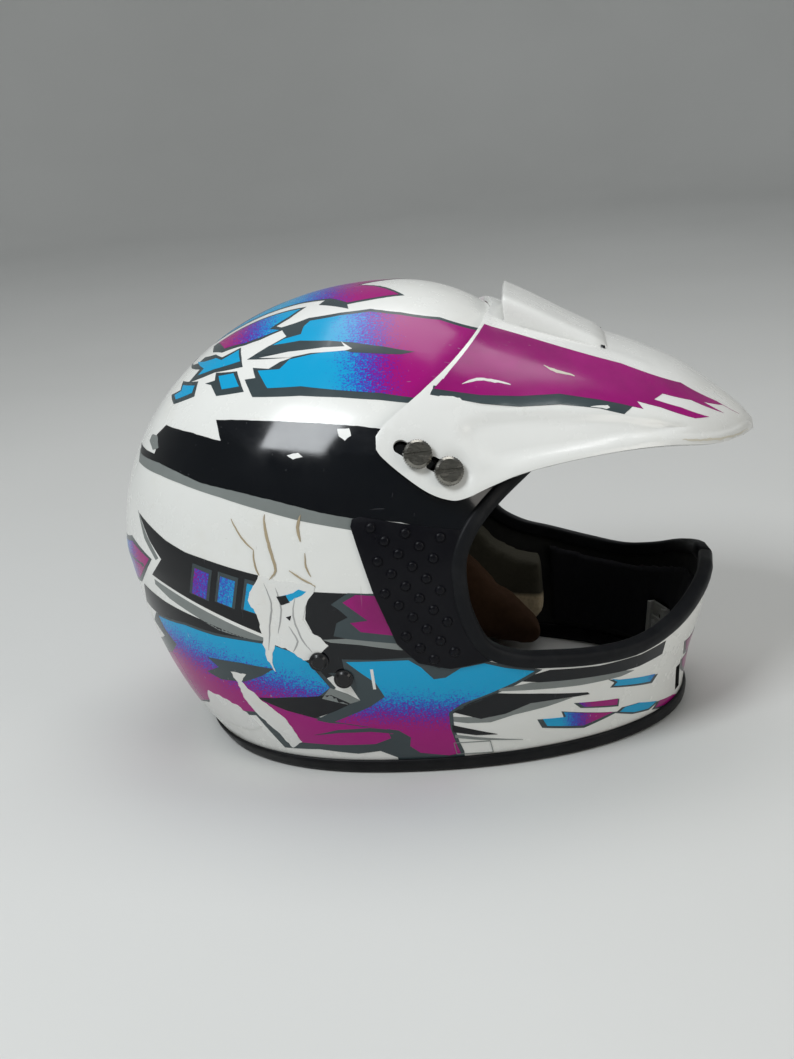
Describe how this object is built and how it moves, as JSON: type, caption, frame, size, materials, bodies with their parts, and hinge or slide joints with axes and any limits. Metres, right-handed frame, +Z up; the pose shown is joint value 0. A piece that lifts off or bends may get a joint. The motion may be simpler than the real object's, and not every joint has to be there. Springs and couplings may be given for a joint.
{
  "type": "motocross helmet",
  "caption": "Full-face off-road helmet with a long sliding peak, open goggle port, projecting chin bar, padded lining and a buckled chin strap.",
  "frame": {"origin": "centre of the bounding box in plan, at the bottom of the neck rubber that the helmet stands on", "axes": "+X towards the front and the peak's tip, +Y towards the wearer's left, +Z up"},
  "size_m": [0.352, 0.2466, 0.245],
  "materials": {
    "shell_paint": "white gelcoat over glass laminate, gloss, scratched",
    "impact_foam": "moulded bead foam",
    "lining_cloth": "knitted lining over soft foam",
    "beige_foam": "aged foam block",
    "pad_cloth": "brushed brown cloth with piping",
    "chin_cloth": "black cloth over thin foam",
    "trim_rubber": "black extruded rubber",
    "grip_rubber": "moulded rubber with raised dots",
    "peak_plastic": "white injection moulding, gloss",
    "screw_metal": "knurled, dull",
    "insert_brass": "turned",
    "vent_plastic": "moulded grey plastic",
    "bracket_steel": "pressed steel",
    "rivet_black": "black painted rivet heads",
    "webbing": "woven webbing",
    "ring_steel": "bright plated wire"
  },
  "bodies": {
    "helmet": {"shell": "shell_paint", "crown_foam": "impact_foam", "comfort_liner": "lining_cloth", "neck_roll": "lining_cloth", "cheek_foam_left": "beige_foam", "cheek_foam_right": "beige_foam", "cheek_pad_left": "pad_cloth", "cheek_pad_right": "pad_cloth", "chin_liner": "chin_cloth", "eye_port_trim": "trim_rubber", "neck_trim": "trim_rubber", "grip_panel_left": "grip_rubber", "grip_panel_right": "grip_rubber", "peak_inserts_left": "insert_brass", "peak_inserts_right": "insert_brass", "vent_frame_left": "vent_plastic", "vent_frame_right": "vent_plastic", "strap_bracket_left": "bracket_steel", "strap_bracket_right": "bracket_steel", "strap_rivets_left": "rivet_black", "strap_rivets_right": "rivet_black"},
    "peak": {"peak": "peak_plastic"},
    "screw_front_left": {"peak_screw_front_left": "screw_metal"},
    "screw_rear_left": {"peak_screw_rear_left": "screw_metal"},
    "screw_front_right": {"peak_screw_front_right": "screw_metal"},
    "screw_rear_right": {"peak_screw_rear_right": "screw_metal"},
    "shutter_left": {"vent_shutter_left": "vent_plastic"},
    "shutter_right": {"vent_shutter_right": "vent_plastic"},
    "strap": {"strap_eye_left": "bracket_steel", "strap_eye_right": "bracket_steel", "strap_short": "webbing", "strap_long": "webbing"},
    "ring_upper": {"d_ring_upper": "ring_steel"},
    "ring_lower": {"d_ring_lower": "ring_steel"}
  },
  "joints": [
    {"name": "peak_slide", "type": "slide", "parent": "helmet", "child": "peak", "axis": [0.8423, 0, -0.5391], "range_m": [0, 0.008]},
    {"name": "screw_front_left_turn", "type": "hinge", "parent": "helmet", "child": "screw_front_left", "pos_m": [0.01374, 0.1095, 0.16657], "axis": [0.239, 0.8963, 0.3735], "continuous": true},
    {"name": "screw_rear_left_turn", "type": "hinge", "parent": "helmet", "child": "screw_rear_left", "pos_m": [-0.001, 0.1095, 0.176], "axis": [0.239, 0.8963, 0.3735], "continuous": true},
    {"name": "screw_front_right_turn", "type": "hinge", "parent": "helmet", "child": "screw_front_right", "pos_m": [0.01374, -0.1095, 0.16657], "axis": [0.239, -0.8963, 0.3735], "continuous": true},
    {"name": "screw_rear_right_turn", "type": "hinge", "parent": "helmet", "child": "screw_rear_right", "pos_m": [-0.001, -0.1095, 0.176], "axis": [0.239, -0.8963, 0.3735], "continuous": true},
    {"name": "shutter_left_slide", "type": "slide", "parent": "helmet", "child": "shutter_left", "axis": [0.1113, 0.0496, 0.9925], "range_m": [0, 0.007]},
    {"name": "shutter_right_slide", "type": "slide", "parent": "helmet", "child": "shutter_right", "axis": [0.1113, -0.0496, 0.9925], "range_m": [0, 0.007]},
    {"name": "strap_swing", "type": "hinge", "parent": "helmet", "child": "strap", "pos_m": [-0.051, 0, 0.05], "axis": [0, 1, 0], "range_deg": [-14, 14]},
    {"name": "ring_upper_turn", "type": "hinge", "parent": "strap", "child": "ring_upper", "pos_m": [-0.051, -0.07118, 0.02525], "axis": [1, 0, 0], "range_deg": [-2, 2]},
    {"name": "ring_lower_turn", "type": "hinge", "parent": "strap", "child": "ring_lower", "pos_m": [-0.051, -0.07282, 0.02074], "axis": [1, 0, 0], "range_deg": [-2, 2]}
  ]
}
